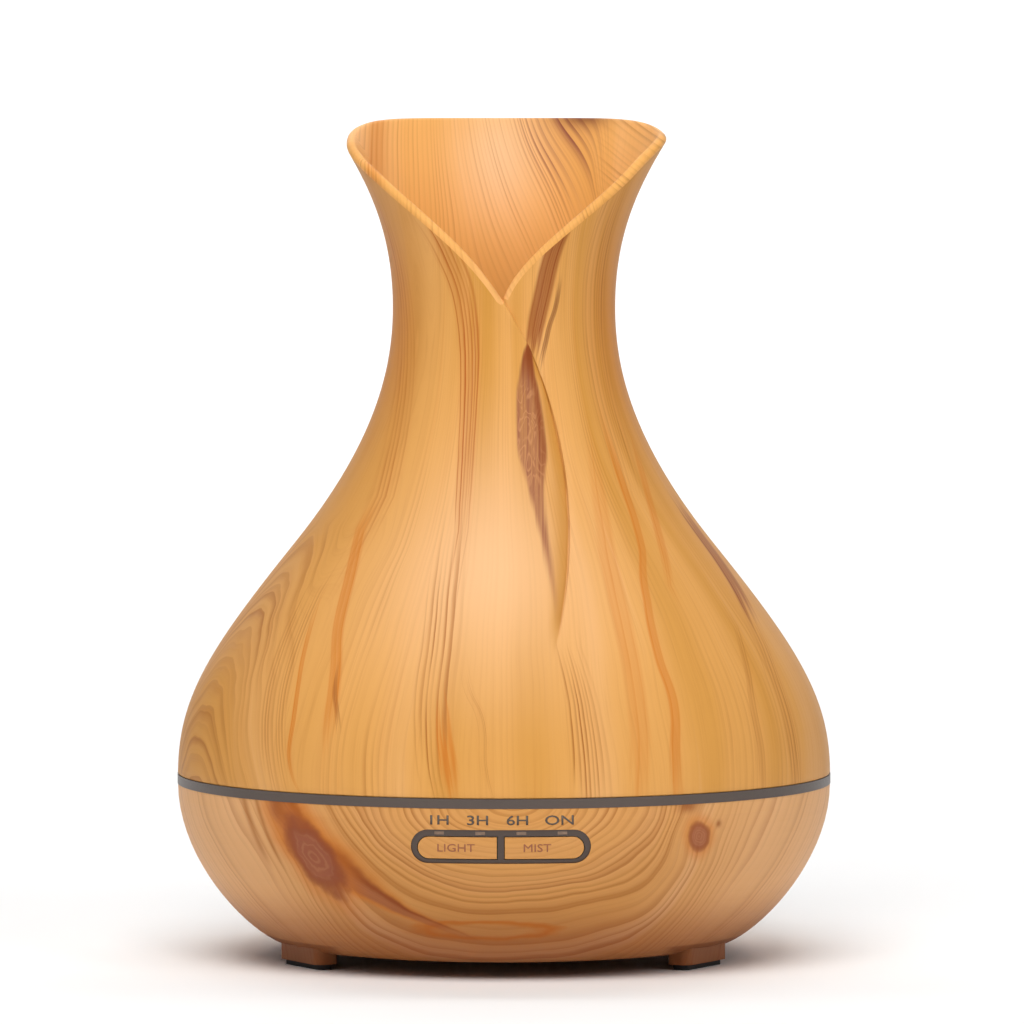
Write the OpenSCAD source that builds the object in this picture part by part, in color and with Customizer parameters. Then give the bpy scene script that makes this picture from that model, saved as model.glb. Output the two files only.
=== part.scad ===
// Ultrasonic essential oil diffuser: a vase-shaped lift-off cover over an inner cover, a water tank
// and a bowl-shaped base that holds the fan, the circuit boards and the power socket.
// Frame: origin on the ground under the centre, +Z up, the button panel faces -Y.

/* [Body] */
// Widest diameter of the body
body_d = 168; // [166:0.5:172]
// Height of the rim at the back of the mouth
top_z = 216; // [214:1:222]
// Radius of the narrow neck
neck_r = 28.6; // [27:0.2:30]
// Radius of the flared rim, where it stands highest
rim_r = 45.4; // [44:0.2:47]
// Wall thickness of the vase cover
cover_wall = 2.6; // [2:0.1:3]
// Wall thickness of the base bowl
base_wall = 2.4; // [2:0.1:2.6]
// Depth of the leaf-shaped fold under the mouth
fold_depth = 1.4; // [0.6:0.1:1.6]
// Step where the left petal laps over the right one
lap_depth = 0.9; // [0.4:0.1:1.2]

/* [Front panel] */
// Length of the button surround
bezel_l = 44.7; // [43:0.5:46]
// Height of the button surround
bezel_h = 8.6; // [8.4:0.1:9]
// Width of the bar between the two buttons
divider_w = 1.6; // [1.4:0.1:2]
// How far a button travels when it is pressed
button_travel = 0.6; // [0.3:0.1:0.6]

/* [Ring and feet] */
// Height of the grey light ring's visible edge
ring_h = 2.4; // [2:0.1:2.6]
// Height of the space under the bowl
ground_gap = 4; // [3.6:0.1:4.4]
// Thickness of the rubber foot pads
pad_h = 1.4; // [1:0.1:1.6]

/* [Mist] */
// Bore radius of the mist chimney
chimney_bore_r = 10.4; // [9:0.2:10.6]
// Height of the chimney's mouth
chimney_top_z = 140; // [130:1:145]

/* [Hidden] */
$fn = 64;
eps = 0.01;
far = 200;
curve_steps = 20; // straight steps in each curve of an outline

// Heights that stack up from the ground
base_top_z = 45;
cover_z = base_top_z + ring_h;
body_r = body_d / 2;
tank_floor_z = 28;
tank_rim_z = 66;
floor_t = 2;

// Outlines, as Bezier curves in [radius, height]
neck_z = 167.3;
shoulder = [body_r - 30.2, 106.7];
shoulder_run = [21.5, -26.8];
belly_curve = [[body_r, cover_z], [body_r, cover_z + 19.7], shoulder + shoulder_run, shoulder];
waist_curve = [shoulder, shoulder - shoulder_run, [neck_r, neck_z - 14.8], [neck_r, neck_z]];
flare_curve = [
    [neck_r, neck_z], [neck_r, neck_z + 24],
    [rim_r - 6.8, top_z - 11.6], [rim_r, top_z],
];
flat_r = 56.4; // radius of the bowl's flat underside
bowl_curve = [[body_r, base_top_z], [body_r, 23.2], [63, ground_gap], [flat_r, ground_gap]];

// The wrap: where the petals lap, and the leaf-shaped fold under the lap, in [x, z]
fold_crease = [[6.6, 158], [18.9, 132], [19.7, 106], [12.7, 80]];
fold_soft_side = [[6.6, 158], [-3.4, 132], [17.4, 106], [12.7, 80]];
lap_edge = [[6.6, 158], [1.5, 166], [-2.5, 176], [-2, 188]];
lap_far_side = [[7.2, 158], [12, 166], [17, 176], [20, 188]];
fold_steps = 22;
fold_across = 5; // strips across a fold

// The mouth: a deep V at the front that rises to a level rim at the back
notch_z = 169;
notch_curve = [[0, notch_z], [10, 187], [31, 197], [42.2, 210]];
brow_curve = [[0, notch_curve[3][1]], [12, 211.6], [21, top_z], [38, top_z]];

// Feet and the screws that close the base
foot_r = 57;
foot_l = 21;
foot_w = 6.6;
foot_corner_r = 2.2;
pad_inset = 1.1;
foot_angles = [-150, -30, 90];
foot_top_z = 6.5;
foot_boss_z = 8;
post_r = 50;
post_angles = [-90, 30, 150];
post_top_z = 20;
post_out_r = 5;
screw_web_z = [12, 14];
screw_r = 1.5;
screw_head_r = 2.9;
small_screw_r = 1;
small_boss_r = 2.6;

// Front panel
panel_z = 35.4;
button_h = 5.9;
button_z = 35.1;
button_l = 20;
button_gap = 0.2;
buttons_l = 2 * button_l + divider_w;
button_x = (button_l + divider_w) / 2;
bezel_sink = 0.3;
bezel_t = 2.8;
button_sink = 0.2;
button_t = 2.2;
pipe_x = [-15.3, -5.1, 5.1, 15.3];
pipe_z = 38.85;
pipe_size = [2.4, 0.8];
panel_board_y = -69.6;
panel_board_t = 1.6;
board_back_y = panel_board_y + panel_board_t;
panel_screw_x = 25.5;
panel_screw_y = -74.5;
stem_r = 1.8;
stem_y = -80.6;
switch_t = 3.5;
switch_side = 6;
plunger_r = 1.7;
plunger_tip_y = panel_board_y - 5;

// Tank, transducer well and air tower
tank_low_r = 66;
tank_high_r = 74;
tank_wall = 2;
flange_t = 2;
flange_r = 81.2;
well_r = 16;
well_hole_r = 8;
well_z = 24;
seal_r = 12;
disc_r = 10;
disc_t = 0.6;
plate_z = 20;
plate_t = 1;
plate_screw_r = 14;
fan_at = [-42, -4];
fan_side = 40;
fan_z = 16;
fan_t = 10;
fan_hole_r = 19;
fan_screw_at = 16;
fan_screw_r = 1.25;
vent_r = 17;
vent_step = 5;
vent_w = 2.2;
bearing_r = 3;
shaft_r = 1;
shaft_gap = 0.08;
hub_r = 10;
hub_z = [2.2, 9.4];
blade_l = 8.4;
blade_w = 8;
blade_t = 1.2;
blade_count = 7;
blade_pitch = 38;
tower_r = 11;
tower_wall = 1.6;
tower_top_z = 62;
tower_bore_r = tower_r - tower_wall;
tower_step = 1.4; // the tower's foot sits this deep in the tank's floor
hood_ring_r = 7.9;
hood_ring_z = [54, tower_top_z];
hood_cap_z = [66.5, 68.1];
hood_leg_w = 3;
disc_z = 22.2;

// Boards
board_at = [9.5, -6];
board_size = [55, 48];
board_z = 10;
board_t = 1.6;
board_top_z = board_z + board_t;
board_post = [24.5, 21];
board_screw_z = 6.8;
led_board_r = [20, 30];
led_board_z = 24;
led_board_t = 1.2;
led_r = 25;
led_angles = [-90, -54, -18, 18, 54, 90];
led_screw_angles = [-72, 0, 72];

// Power socket, its axis along Y
jack_z = 17;
jack_web_y = [64, 66];
jack_r = 3.9;
jack_bore_r = 2.8;
jack_bore_y = 58;
jack_pin_r = 1.05;
jack_tail_r = 0.6;
jack_tail_y = 54.5;
jack_recess_r = 5.6;
jack_boss_r = 7.4;
jack_nut_t = 1.8;

// Cover parts
chimney_wall = 1.6;
chimney_r = chimney_bore_r + chimney_wall;
chimney_low_z = 80;
dome_top = [16, 100];
dome_t = 1.8;
skirt_r = 76.6;

// ---------- curves and outlines ----------

function bez(p, t) = let (u = 1 - t)
    u * u * u * p[0] + 3 * u * u * t * p[1] + 3 * u * t * t * p[2] + t * t * t * p[3];
function bez_slope(p, t) = let (u = 1 - t)
    3 * u * u * (p[1] - p[0]) + 6 * u * t * (p[2] - p[1]) + 3 * t * t * (p[3] - p[2]);
function left_of(v) = [-v[1], v[0]] / norm(v);
function curve(p, shift = 0, from = 0, n = curve_steps) =
    [for (i = [from : n]) bez(p, i / n) + shift * left_of(bez_slope(p, i / n))];
function backwards(list) = [for (i = [len(list) - 1 : -1 : 0]) list[i]];
function mirrored(list) = [for (p = list) [-p[0], p[1]]];

// The vase cover's skin, shift millimetres in from the outside
function cover_line(shift) =
    concat(curve(belly_curve, shift), curve(waist_curve, shift, 1), curve(flare_curve, shift, 1));

// The bowl's skin, shift millimetres in from the outside
function bowl_line(shift) = curve(bowl_curve, -shift);

// A rectangle with round corners, as points
function rounded(l, w, r, n = 6) = [
    for (c = [[1, 1, 0], [-1, 1, 90], [-1, -1, 180], [1, -1, 270]], i = [0 : n])
        [c[0] * (l / 2 - r), c[1] * (w / 2 - r)] + r * [cos(c[2] + 90 * i / n), sin(c[2] + 90 * i / n)]
];

// A tube swept along points, with 8 sides
function unit(v) = v / norm(v);
function tangent(p, i) = unit(p[min(i + 1, len(p) - 1)] - p[max(i - 1, 0)]);
function side_of(t) = unit(cross(t, abs(t[2]) > 0.9 ? [1, 0, 0] : [0, 0, 1]));
function frame_sides(p, i = 0, s = undef, out = []) = i == len(p) ? out :
    let (t = tangent(p, i), raw = i == 0 ? side_of(t) : s - (s * t) * t, n = unit(raw))
    frame_sides(p, i + 1, n, concat(out, [n]));
function smooth(p, n = 4) = [
    for (i = [0 : len(p) - 2], k = [0 : n - 1])
        let (a = p[max(i - 1, 0)], b = p[i], c = p[i + 1], d = p[min(i + 2, len(p) - 1)], t = k / n)
        0.5 * (2 * b + (c - a) * t + (2 * a - 5 * b + 4 * c - d) * t * t
            + (3 * b - a - 3 * c + d) * t * t * t),
    p[len(p) - 1]
];

module tube(path, r, sides = 8) {
    p = smooth(path);
    n = frame_sides(p);
    rings = [for (i = [0 : len(p) - 1], k = [0 : sides - 1])
        let (m = cross(tangent(p, i), n[i]), a = 360 * k / sides)
        p[i] + r * (cos(a) * n[i] + sin(a) * m)];
    walls = [for (i = [0 : len(p) - 2], k = [0 : sides - 1])
        let (a = i * sides + k, b = i * sides + (k + 1) % sides)
        [a, a + sides, b + sides, b]];
    first = [for (k = [0 : sides - 1]) k];
    last = [for (k = [sides - 1 : -1 : 0]) (len(p) - 1) * sides + k];
    polyhedron(rings, concat(walls, [first, last]), convexity = 4);
}

// ---------- shared shapes ----------

module at_posts() {
    for (a = post_angles) rotate(a) translate([post_r, 0, 0]) children();
}

module at_feet() {
    for (a = foot_angles) rotate(a) translate([foot_r, 0, 0]) rotate(90) children();
}

module at_board_posts() {
    for (sx = [-1, 1], sy = [-1, 1])
        translate([board_at[0] + sx * board_post[0], board_at[1] + sy * board_post[1], 0]) children();
}

module at_fan() {
    translate([fan_at[0], fan_at[1], 0]) children();
}

module at_fan_screws() {
    at_fan() for (s = [-1, 1]) translate([s * fan_screw_at, s * fan_screw_at, 0]) children();
}

module at_led_screws() {
    for (a = led_screw_angles) rotate(a) translate([led_r, 0, 0]) children();
}

module at_plate_screws() {
    for (a = [30, 150, 270]) rotate(a) translate([plate_screw_r, 0, 0]) children();
}

// Turns a shape drawn in XY so that it faces the front and runs along +Y
module facing_front(y, depth) {
    translate([0, y, 0]) rotate([90, 0, 0]) mirror([0, 0, 1]) linear_extrude(depth) children();
}

// A cylinder along +Y
module along_y(r, from, to, x = 0, z = 0) {
    translate([x, from, z]) rotate([-90, 0, 0]) cylinder(r = r, h = to - from);
}

// The bowl's full solid, shift millimetres in from its outside
module bowl_solid(shift = 0) {
    line = bowl_line(shift);
    rotate_extrude() polygon(concat(line, [[0, line[len(line) - 1][1]], [0, line[0][1]]]));
}

// A band of the bowl's skin between two depths
module bowl_band(outer, inner) {
    difference() {
        bowl_solid(outer);
        bowl_solid(inner);
        translate([-far / 2, -60, 0]) cube([far, far, far]);
    }
}

module screw(r, head_r, head_h, from, to) {
    translate([0, 0, from]) cylinder(r = r, h = to - from);
    difference() {
        translate([0, 0, from - head_h]) cylinder(r = head_r, h = head_h);
        for (a = [0, 90]) rotate(a)
            translate([-head_r * 0.6, -head_r * 0.12, from - head_h - eps])
                cube([head_r * 1.2, head_r * 0.24, head_h * 0.5]);
    }
}

module block(at, size, z) {
    translate([at[0] - size[0] / 2, at[1] - size[1] / 2, z]) cube([size[0], size[1], size[2]]);
}

// ---------- base ----------

// Slots under the fan, shorter towards the edge of a circle
module vents() {
    for (i = [-3 : 3]) {
        y = vent_step * i;
        l = 2 * sqrt(vent_r * vent_r - y * y) - vent_w;
        at_fan() translate([0, y, 0]) linear_extrude(fan_z)
            polygon(rounded(l, vent_w, vent_w / 2 - 0.05, 4));
    }
}

module bowl() {
    difference() {
        bowl_solid();
        difference() {
            bowl_solid(base_wall);
            at_feet() linear_extrude(foot_boss_z) foot_outline();
            at_posts() cylinder(r = post_out_r, h = post_top_z);
            at_board_posts() cylinder(r = small_boss_r, h = board_z);
            along_y(jack_boss_r, jack_web_y[0], far / 2, 0, jack_z);
            for (s = [-1, 1]) along_y(small_boss_r, -far / 2, panel_board_y, s * panel_screw_x, panel_z);
        }
        translate([0, 0, base_top_z - eps]) cylinder(r = body_r - base_wall, h = 1);
    }
}

module base_shell() {
    color("#c98d4e") difference() {
        union() {
            bowl();
            at_feet() translate([0, 0, pad_h]) linear_extrude(foot_top_z - pad_h) foot_outline();
        }
        bezel_outline();
        at_posts() {
            cylinder(r = screw_head_r + 0.5, h = screw_web_z[0]);
            cylinder(r = screw_r + 0.2, h = post_top_z + 1);
        }
        at_board_posts() translate([0, 0, board_screw_z]) cylinder(r = small_screw_r, h = 10);
        along_y(jack_recess_r, jack_web_y[1], far / 2, 0, jack_z);
        along_y(jack_r + 0.1, jack_web_y[0] - 5, far / 2, 0, jack_z);
        for (s = [-1, 1]) along_y(small_screw_r, panel_screw_y, -60, s * panel_screw_x, panel_z);
        vents();
    }
}

module foot_outline() {
    polygon(rounded(foot_l, foot_w, foot_corner_r));
}

module foot_pads() {
    color("#2b2b2d") at_feet() linear_extrude(pad_h)
        polygon(rounded(foot_l - 2 * pad_inset, foot_w - 2 * pad_inset, foot_corner_r - pad_inset + 0.4));
}

module light_ring() {
    lip = [79.4, 80.8];
    color("#5c5048") difference() {
        union() {
            translate([0, 0, base_top_z]) cylinder(r = body_r + 0.1, h = ring_h);
            translate([0, 0, cover_z - eps]) cylinder(r = lip[1], h = 3);
        }
        cylinder(r = tank_high_r + 1, h = far);
        translate([0, 0, cover_z]) cylinder(r = lip[0], h = far);
    }
}

// ---------- front panel ----------

// The surround's straight-sided column with round ends
module bezel_outline() {
    translate([0, 0, panel_z]) facing_front(-far / 2, 60)
        polygon(rounded(bezel_l, bezel_h, bezel_h / 2 - eps, 12));
}

module button_bezel() {
    color("#564338") difference() {
        intersection() {
            bowl_band(bezel_sink, bezel_sink + bezel_t);
            bezel_outline();
        }
        for (s = [-1, 1]) button_outline(s, 0);
        for (x = pipe_x) pipe(x, -far / 2, far / 2);
    }
}

// One button's straight-sided column, its outer end round
module button_outline(s, gap) {
    w = button_h - 2 * gap;
    r = button_h / 2 - gap;
    inner = divider_w / 2 + gap;
    intersection() {
        translate([0, 0, button_z]) facing_front(-far / 2, 60)
            polygon(rounded(buttons_l - 2 * gap, w, r - eps, 10));
        translate([s > 0 ? inner : -far / 2 - inner, -far / 2, 0]) cube([far / 2, far, far]);
    }
}

module button(s) {
    intersection() {
        bowl_band(button_sink, button_sink + button_t);
        button_outline(s, button_gap);
    }
    // the stem that pushes the switch
    along_y(stem_r, stem_y, plunger_tip_y, s * button_x, button_z);
}

module pipe(x, from, to) {
    translate([x - pipe_size[0] / 2, from, pipe_z - pipe_size[1] / 2])
        cube([pipe_size[0], to - from, pipe_size[1]]);
}

module light_pipes() {
    color("#d9cfc0") for (x = pipe_x) difference() {
        pipe(x, -far / 2, panel_board_y - 1.6);
        difference() {
            translate([-far, -far, 0]) cube([2 * far, 2 * far, far]);
            bowl_solid(bezel_sink + 0.1);
        }
    }
}

module light_button() {
    color("#d09a63") button(-1);
}

module mist_button() {
    color("#d09a63") button(1);
}

module plunger(s) {
    along_y(plunger_r, plunger_tip_y, panel_board_y - switch_t + 1.6, s * button_x, button_z);
}

module light_switch_plunger() {
    color("#202020") plunger(-1);
}

module mist_switch_plunger() {
    color("#202020") plunger(1);
}

module button_board() {
    color("#1f6b3a") difference() {
        translate([-29, panel_board_y, 28.4]) cube([58, panel_board_t, 14.2]);
        for (s = [-1, 1]) along_y(small_screw_r, -80, -60, s * panel_screw_x, panel_z);
    }
}

module button_board_screws() {
    color("silver") for (s = [-1, 1]) {
        along_y(small_screw_r, panel_screw_y, board_back_y, s * panel_screw_x, panel_z);
        along_y(2 * small_screw_r, board_back_y, board_back_y + 1.3, s * panel_screw_x, panel_z);
    }
}

module switch_bodies() {
    color("#9a9a9a") for (s = [-1, 1]) difference() {
        translate([s * button_x - switch_side / 2, panel_board_y - switch_t, button_z - 3.3])
            cube([switch_side, switch_t, switch_side]);
        along_y(plunger_r + 0.1, -80, panel_board_y - 1, s * button_x, button_z);
    }
}

module indicator_leds() {
    color("white") for (x = pipe_x)
        translate([x - 1.5, panel_board_y - 1.6, pipe_z - 0.7]) cube([3, 1.6, 1.4]);
}

// ---------- tank and transducer ----------

module tank_walls() {
    rotate_extrude() polygon([
        [well_r - 4, tank_floor_z], [tank_low_r, tank_floor_z], [tank_low_r, base_top_z - flange_t],
        [flange_r, base_top_z - flange_t], [flange_r, base_top_z], [tank_high_r, base_top_z],
        [tank_high_r, tank_rim_z], [tank_high_r - tank_wall, tank_rim_z],
        [tank_high_r - tank_wall, base_top_z], [tank_low_r - tank_wall, base_top_z],
        [tank_low_r - tank_wall, tank_floor_z + floor_t], [well_r - 4, tank_floor_z + floor_t],
    ]);
}

module water_tank() {
    color("#ecebe6") difference() {
        union() {
            tank_walls();
            translate([0, 0, plate_z + plate_t])
                cylinder(r = well_r, h = tank_floor_z + floor_t - plate_z - plate_t);
            at_fan() translate([0, 0, fan_z + fan_t])
                cylinder(r = fan_hole_r + tower_wall, h = tank_floor_z - fan_z - fan_t + eps);
            at_fan_screws() translate([0, 0, fan_z + fan_t]) cylinder(r = 3, h = 2 + eps);
            at_posts() translate([0, 0, post_top_z]) cylinder(r = 4, h = tank_floor_z - post_top_z + eps);
            at_led_screws() translate([0, 0, led_board_z + led_board_t]) cylinder(r = 2, h = 3);
        }
        translate([0, 0, well_z + floor_t]) cylinder(r = well_r - 2, h = 10);
        translate([0, 0, plate_z]) cylinder(r = well_hole_r, h = 12);
        translate([0, 0, plate_z]) cylinder(r = seal_r, h = well_z - plate_z);
        at_fan() translate([0, 0, fan_z]) cylinder(r = fan_hole_r, h = tank_floor_z - fan_z);
        at_fan() translate([0, 0, fan_z]) cylinder(r = tower_bore_r, h = far);
        at_fan() translate([0, 0, tank_floor_z + floor_t - tower_step]) cylinder(r = tower_r, h = far);
        at_fan_screws() translate([0, 0, fan_z]) cylinder(r = fan_screw_r, h = 13.4);
        at_posts() translate([0, 0, post_top_z - 1]) cylinder(r = screw_r, h = 8);
        at_led_screws() translate([0, 0, led_board_z]) cylinder(r = 0.9, h = 3.6);
        at_plate_screws() translate([0, 0, plate_z]) cylinder(r = 0.9, h = 4);
    }
}

// The tube that carries the fan's air up through the water
module air_tower() {
    color("#ecebe6") at_fan() difference() {
        foot_z = tank_floor_z + floor_t - tower_step;
        translate([0, 0, foot_z]) cylinder(r = tower_r, h = tower_top_z - foot_z);
        translate([0, 0, fan_z]) cylinder(r = tower_bore_r, h = far);
    }
}

// A cap on three legs that keeps water out of the air tower
module duct_hood() {
    leg_t = tower_bore_r - hood_ring_r - 0.2;
    leg_z = hood_ring_z[1] - 1;
    color("#e4e2db") at_fan() {
        difference() {
            translate([0, 0, hood_ring_z[0]])
                cylinder(r = tower_bore_r - 0.1, h = hood_ring_z[1] - hood_ring_z[0]);
            cylinder(r = hood_ring_r, h = far);
        }
        for (a = [0 : 120 : 240]) rotate(a)
            translate([hood_ring_r, -hood_leg_w / 2, leg_z])
                cube([leg_t, hood_leg_w, hood_cap_z[0] + eps - leg_z]);
        translate([0, 0, hood_cap_z[0]]) cylinder(r = tower_r + 2.4, h = hood_cap_z[1] - hood_cap_z[0]);
    }
}

module transducer_disc() {
    color("#d8c9a0") translate([0, 0, disc_z]) cylinder(r = disc_r, h = disc_t);
}

module transducer_seal() {
    color("#3a3a3a") difference() {
        translate([0, 0, plate_z + plate_t]) cylinder(r = seal_r, h = well_z - plate_z - plate_t);
        cylinder(r = well_hole_r + 0.6, h = far);
        translate([0, 0, disc_z]) cylinder(r = disc_r, h = disc_t);
    }
}

module transducer_plate() {
    color("silver") difference() {
        translate([0, 0, plate_z]) cylinder(r = well_r, h = plate_t);
        cylinder(r = 7, h = far);
        at_plate_screws() cylinder(r = 0.9, h = far);
    }
}

module transducer_screws() {
    color("silver") at_plate_screws() screw(0.9, 1.8, 1.1, plate_z, plate_z + 3.8);
}

// ---------- fan ----------

module fan_frame() {
    color("#26262a") difference() {
        at_fan() translate([0, 0, fan_z]) difference() {
            linear_extrude(fan_t) polygon(rounded(fan_side, fan_side, 3));
            difference() {
                translate([0, 0, -1]) cylinder(r = fan_hole_r, h = fan_t + 2);
                cylinder(r = hub_r - 1, h = 1.6);
                for (a = [45 : 120 : 285]) rotate(a) translate([4, -1.2, 0]) cube([fan_side / 2, 2.4, 1.4]);
                cylinder(r = bearing_r, h = 3.2);
            }
            translate([0, 0, 0.8]) cylinder(r = shaft_r + shaft_gap, h = 4);
        }
        at_fan() for (sx = [-1, 1], sy = [-1, 1])
            translate([sx * fan_screw_at, sy * fan_screw_at, 0]) cylinder(r = fan_screw_r, h = far);
    }
}

module fan_rotor() {
    color("#33333a") at_fan() translate([0, 0, fan_z]) {
        difference() {
            translate([0, 0, hub_z[0]]) cylinder(r = hub_r, h = hub_z[1] - hub_z[0]);
            translate([0, 0, hub_z[0] - 1]) cylinder(r = hub_r - 1.4, h = hub_z[1] - hub_z[0] - 0.7);
        }
        translate([0, 0, 1]) cylinder(r = shaft_r, h = 7.2);
        for (i = [0 : blade_count - 1]) rotate(360 / blade_count * i)
            translate([hub_r - 0.5, 0, (hub_z[0] + hub_z[1]) / 2]) rotate([blade_pitch, 0, 0])
                translate([0, -blade_w / 2, -blade_t / 2]) cube([blade_l, blade_w, blade_t]);
    }
}

module fan_screws() {
    color("silver") at_fan_screws() screw(fan_screw_r, 2.3, 1.4, fan_z, 29.2);
}

// ---------- boards ----------

module main_board() {
    color("#1f6b3a") difference() {
        block(board_at, [board_size[0], board_size[1], board_t], board_z);
        at_board_posts() cylinder(r = small_screw_r, h = far);
    }
}

module board_screws() {
    color("silver") at_board_posts() mirror([0, 0, 1])
        screw(small_screw_r, 1.9, 1.2, -board_top_z, -board_screw_z - 0.2);
}

// Each chip's place and size
chip_list = [[[14, 4], [9, 7, 1.7]], [[24, -16], [6, 5, 1.5]], [[-4, 8], [5, 4, 1.5]]];

module controller_chips() {
    color("#1b1b1d") for (c = chip_list) block(c[0], c[1], board_top_z);
}

coil_h = 6;

module inductor_coil() {
    color("#b0703a") difference() {
        translate([24, 0, board_top_z]) cylinder(r = 4.5, h = coil_h);
        translate([24, 0, board_top_z + coil_h - 1]) cylinder(r = 2.2, h = 2);
    }
}

// Each capacitor's place, radius and height
capacitor_list = [[[4, -23], 4, 10], [[14, -23], 3.2, 8], [[24, -24], 2.5, 7]];

module capacitors() {
    color("#2a3550") for (c = capacitor_list)
        translate([c[0][0], c[0][1], board_top_z]) cylinder(r = c[1], h = c[2]);
}

transistor_at = [-8, -14];
fin_h = 6.6;

module power_transistor() {
    color("#1b1b1d") block(transistor_at, [10, 4.4, 5.6], board_top_z);
}

module heat_sink() {
    color("#b9bcc0") {
        block(transistor_at - [0, 3.4], [14, 2.4, fin_h], board_top_z);
        for (i = [-2 : 2]) block(transistor_at + [3 * i, -6.5], [1, 3.8, fin_h], board_top_z);
    }
}

connector_at = [[-14, 2], [-12, -8], [32, 6], [9, 14.5], [32, -10]];
connector_size = [5, 4.5, 5];

module board_connectors() {
    color("#efeee8") for (c = connector_at) block(c, connector_size, board_top_z);
}

module led_board() {
    color("#e8e6de") difference() {
        translate([0, 0, led_board_z]) cylinder(r = led_board_r[1], h = led_board_t);
        cylinder(r = led_board_r[0], h = far);
        translate([-far - 12, -far / 2, 0]) cube([far, far, far]);
        at_led_screws() cylinder(r = 0.9, h = far);
    }
}

module mood_leds() {
    color("#f6f2d8") for (a = led_angles) rotate(a)
        translate([led_r - 2.5, -2.5, led_board_z + led_board_t]) cube([5, 5, 1.6]);
}

module led_board_screws() {
    color("silver") at_led_screws() screw(0.9, 1.7, 1.1, led_board_z, 27.4);
}

// ---------- power socket and leads ----------

module dc_jack() {
    color("#1d1d1f") difference() {
        union() {
            along_y(jack_r, 56, 69, 0, jack_z);
            along_y(5.6, 61.6, jack_web_y[0], 0, jack_z);
        }
        along_y(jack_bore_r, jack_bore_y, 80, 0, jack_z);
        along_y(jack_tail_r, 55, 59, 0, jack_z);
    }
}

module jack_pin() {
    color("silver") {
        along_y(jack_pin_r, jack_bore_y, 68.2, 0, jack_z);
        along_y(jack_tail_r, jack_tail_y, jack_bore_y + eps, 0, jack_z);
    }
}

module jack_nut() {
    color("silver") difference() {
        translate([0, jack_web_y[1], jack_z]) rotate([-90, 0, 0])
            cylinder(r = jack_recess_r - 0.2, h = jack_nut_t, $fn = 6);
        along_y(jack_r, 60, 80, 0, jack_z);
    }
}

module housing_screws() {
    color("silver") at_posts() screw(screw_r, screw_head_r, 2, screw_web_z[0], 26.8);
}

lead_z = board_top_z + connector_size[2];
lead_r = 0.8;

// The last stretch of a lead, straight down into a board connector
function into_connector(i) = let (at = connector_at[i])
    [for (up = [1.6, 0.8, 0]) [at[0], at[1], lead_z + up]];

module jack_lead() {
    color("#b3261e") tube(concat([
        [0, jack_tail_y, jack_z], [0, 53.3, jack_z], [0, 52, jack_z], [4, 44, 15.5], [18, 34, 13],
        [32, 24, 17], [32, 10, 21.5],
    ], into_connector(2)), lead_r);
}

module fan_lead() {
    color("#1c1c1c") tube(concat([
        [-22, 2, 18], [-20.8, 2, 18], [-19.6, 2, 18], [-16, 2, 18.6],
    ], into_connector(0)), lead_r);
}

module transducer_lead() {
    color("#d8d8d8") tube(concat([
        [0, 0, disc_z], [0, 0, 21.4], [0, 0, 20.6], [-4, -2.6, 18.4], [-9, -6, 18.6],
    ], into_connector(1)), lead_r);
}

module led_lead() {
    color("#2d4f9e") tube(concat([
        [14, 21.5, led_board_z], [14, 21.5, 23.2], [14, 21.5, 22.4], [13.7, 21.1, 21.3],
        [13, 20.1, 20.6], [11.6, 18.1, 20.1], [10, 15.9, 19.8], [9.3, 14.9, 19.3],
    ], into_connector(3)), lead_r);
}

module button_lead() {
    color("#c8b23a") tube(concat([
        [12, board_back_y, 30.6], [12, -67.6, 30.6], [12, -67.2, 30.6], [12, -66.6, 30.1],
        [12, -66.4, 29.2], [12, -66.3, 28], [12.4, -65.2, 25.8], [14, -62, 23],
        [18, -56, 20.5], [28, -44, 18], [36, -24, 20], [33, -12, 19.6],
    ], into_connector(4)), lead_r);
}

// ---------- covers ----------

dome_curve = [[skirt_r, tank_rim_z + dome_t], [62, 80], [28, 78], dome_top];
skirt_low_z = 60.5;
skirt_t = 1.4;
collar_z = dome_top[1] + 3;
collar_r = chimney_r + 2.6;
seal_z = [62, 65];

module inner_cover() {
    under = curve(dome_curve, dome_t);
    color("#f0efea") rotate_extrude() polygon(concat(
        [[skirt_r, skirt_low_z]],
        curve(dome_curve),
        [[collar_r, dome_top[1]], [collar_r, collar_z]],
        [[chimney_r + 0.05, collar_z], [chimney_r + 0.05, dome_top[1] - 3.4]],
        [for (p = backwards(under)) if (p[0] > chimney_r + 1 && p[0] < tank_high_r - tank_wall) p],
        [[tank_high_r - tank_wall, tank_rim_z], [skirt_r - skirt_t, tank_rim_z]],
        [[skirt_r - skirt_t, skirt_low_z]]
    ));
}

module cover_seal() {
    color("#dcdcd8") difference() {
        translate([0, 0, seal_z[0]]) cylinder(r = skirt_r - skirt_t, h = seal_z[1] - seal_z[0]);
        cylinder(r = tank_high_r + 0.05, h = far);
    }
}

module mist_chimney() {
    color("#f0efea") difference() {
        union() {
            translate([0, 0, chimney_low_z]) cylinder(r = chimney_r, h = chimney_top_z - chimney_low_z);
            translate([0, 0, collar_z]) cylinder(r = collar_r, h = 2);
        }
        translate([0, 0, chimney_low_z - 1]) cylinder(r = chimney_bore_r, h = far);
    }
}

module rim_cut() {
    edge = curve(notch_curve);
    brow = curve(brow_curve);
    corner_z = notch_curve[3][1];
    above = [[60, corner_z], [60, far * 2], [-60, far * 2], [-60, corner_z]];
    facing_front(-far / 2, far / 2) polygon(concat(backwards(mirrored(edge)), edge, above));
    rotate([90, 0, 90]) translate([0, 0, -far / 2]) linear_extrude(far)
        polygon(concat(brow, [[70, top_z], [70, far * 2], [0, far * 2]]));
}

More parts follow.
